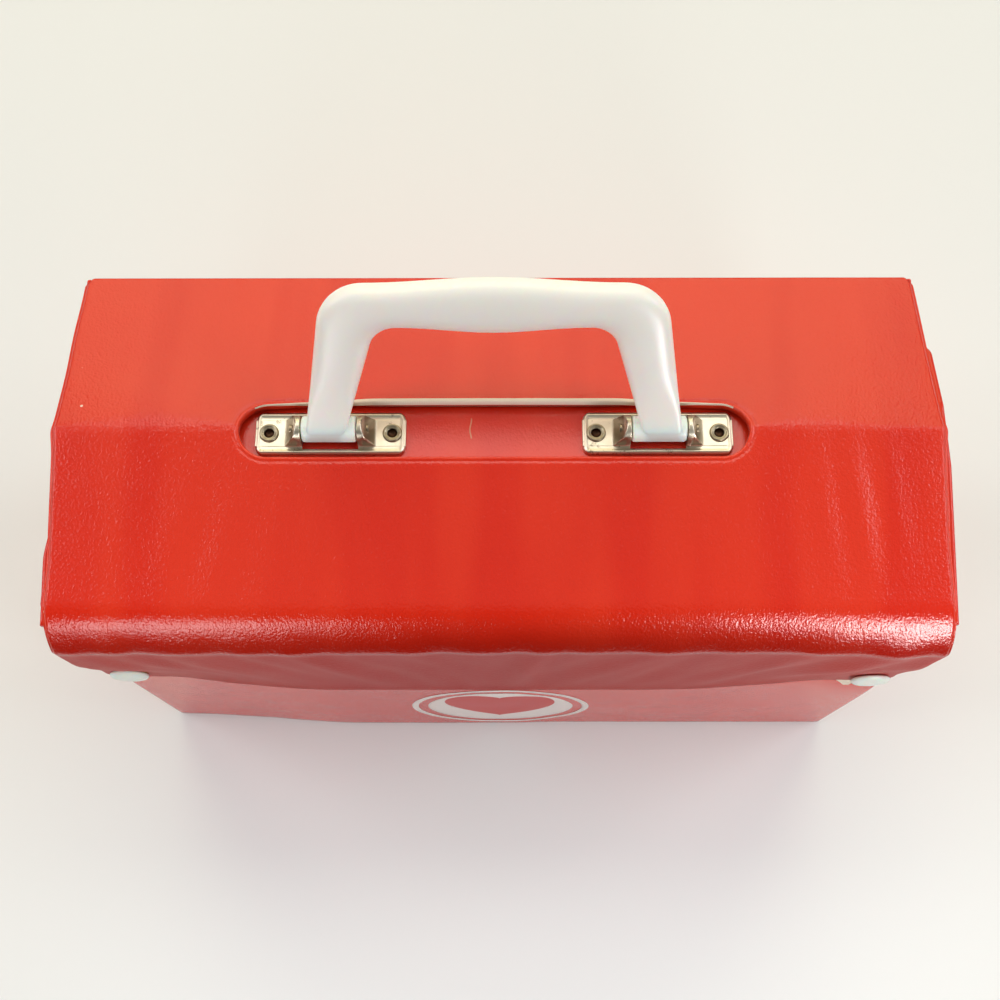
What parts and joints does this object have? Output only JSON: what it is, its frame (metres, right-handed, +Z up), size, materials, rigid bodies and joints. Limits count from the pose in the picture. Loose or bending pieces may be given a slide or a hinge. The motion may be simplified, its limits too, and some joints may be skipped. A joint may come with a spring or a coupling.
{
  "type": "toy doctor case",
  "caption": "Toy doctor case of glossy vinyl over board, with a hinged inner lid, a slotted outer flap that snaps shut in front and a swinging carry handle.",
  "frame": {"origin": "centre of the base, on the surface that the case stands on", "axes": "+X to the right seen from the front, -Y to the front with the lip and the snaps, +Z up, out of the top"},
  "size_m": [0.286, 0.127, 0.224],
  "materials": {
    "red_vinyl": "gloss",
    "lining_vinyl": "matte",
    "chipboard": "matte",
    "white_vinyl": "matte",
    "ivory_plastic": "satin",
    "nickel_steel": "satin"
  },
  "bodies": {
    "case_body": {"front_board": "chipboard", "back_board": "chipboard", "bottom_board": "chipboard", "body_skin": "red_vinyl", "body_lining": "lining_vinyl", "left_gusset": "red_vinyl", "right_gusset": "red_vinyl", "left_snap_stud": "ivory_plastic", "right_snap_stud": "ivory_plastic", "left_stud_cap": "ivory_plastic", "right_stud_cap": "ivory_plastic"},
    "inner_lid": {"inner_lid_board": "chipboard", "inner_lid_skin": "red_vinyl", "inner_lid_lining": "lining_vinyl", "left_handle_plate": "nickel_steel", "right_handle_plate": "nickel_steel", "left_plate_rivets": "nickel_steel", "right_plate_rivets": "nickel_steel", "left_rivet_washers": "nickel_steel", "right_rivet_washers": "nickel_steel", "left_handle_pin": "nickel_steel", "right_handle_pin": "nickel_steel"},
    "carry_handle": {"handle": "ivory_plastic"},
    "outer_flap": {"flap_back_board": "chipboard", "flap_front_board": "chipboard", "flap_skin": "red_vinyl", "flap_lining": "white_vinyl"},
    "flap_lip": {"lip_skin": "red_vinyl", "lip_lining": "white_vinyl", "left_snap_cap": "ivory_plastic", "right_snap_cap": "ivory_plastic", "left_snap_socket": "ivory_plastic", "right_snap_socket": "ivory_plastic"}
  },
  "joints": [
    {"name": "inner_lid_hinge", "type": "hinge", "parent": "case_body", "child": "inner_lid", "pos_m": [0, 0.0595, 0.16587], "axis": [-1, 0, 0], "range_deg": [0, 90]},
    {"name": "handle_swing", "type": "hinge", "parent": "inner_lid", "child": "carry_handle", "pos_m": [-0.0016, 0, 0.1794], "axis": [1, 0, 0], "range_deg": [-38, 104]},
    {"name": "flap_hinge", "type": "hinge", "parent": "inner_lid", "child": "outer_flap", "pos_m": [0, 0.0595, 0.16587], "axis": [-1, 0, 0], "range_deg": [0, 115]},
    {"name": "lip_fold", "type": "hinge", "parent": "outer_flap", "child": "flap_lip", "pos_m": [0, -0.06305, 0.15591], "axis": [-1, 0, 0], "range_deg": [0, 90]}
  ]
}
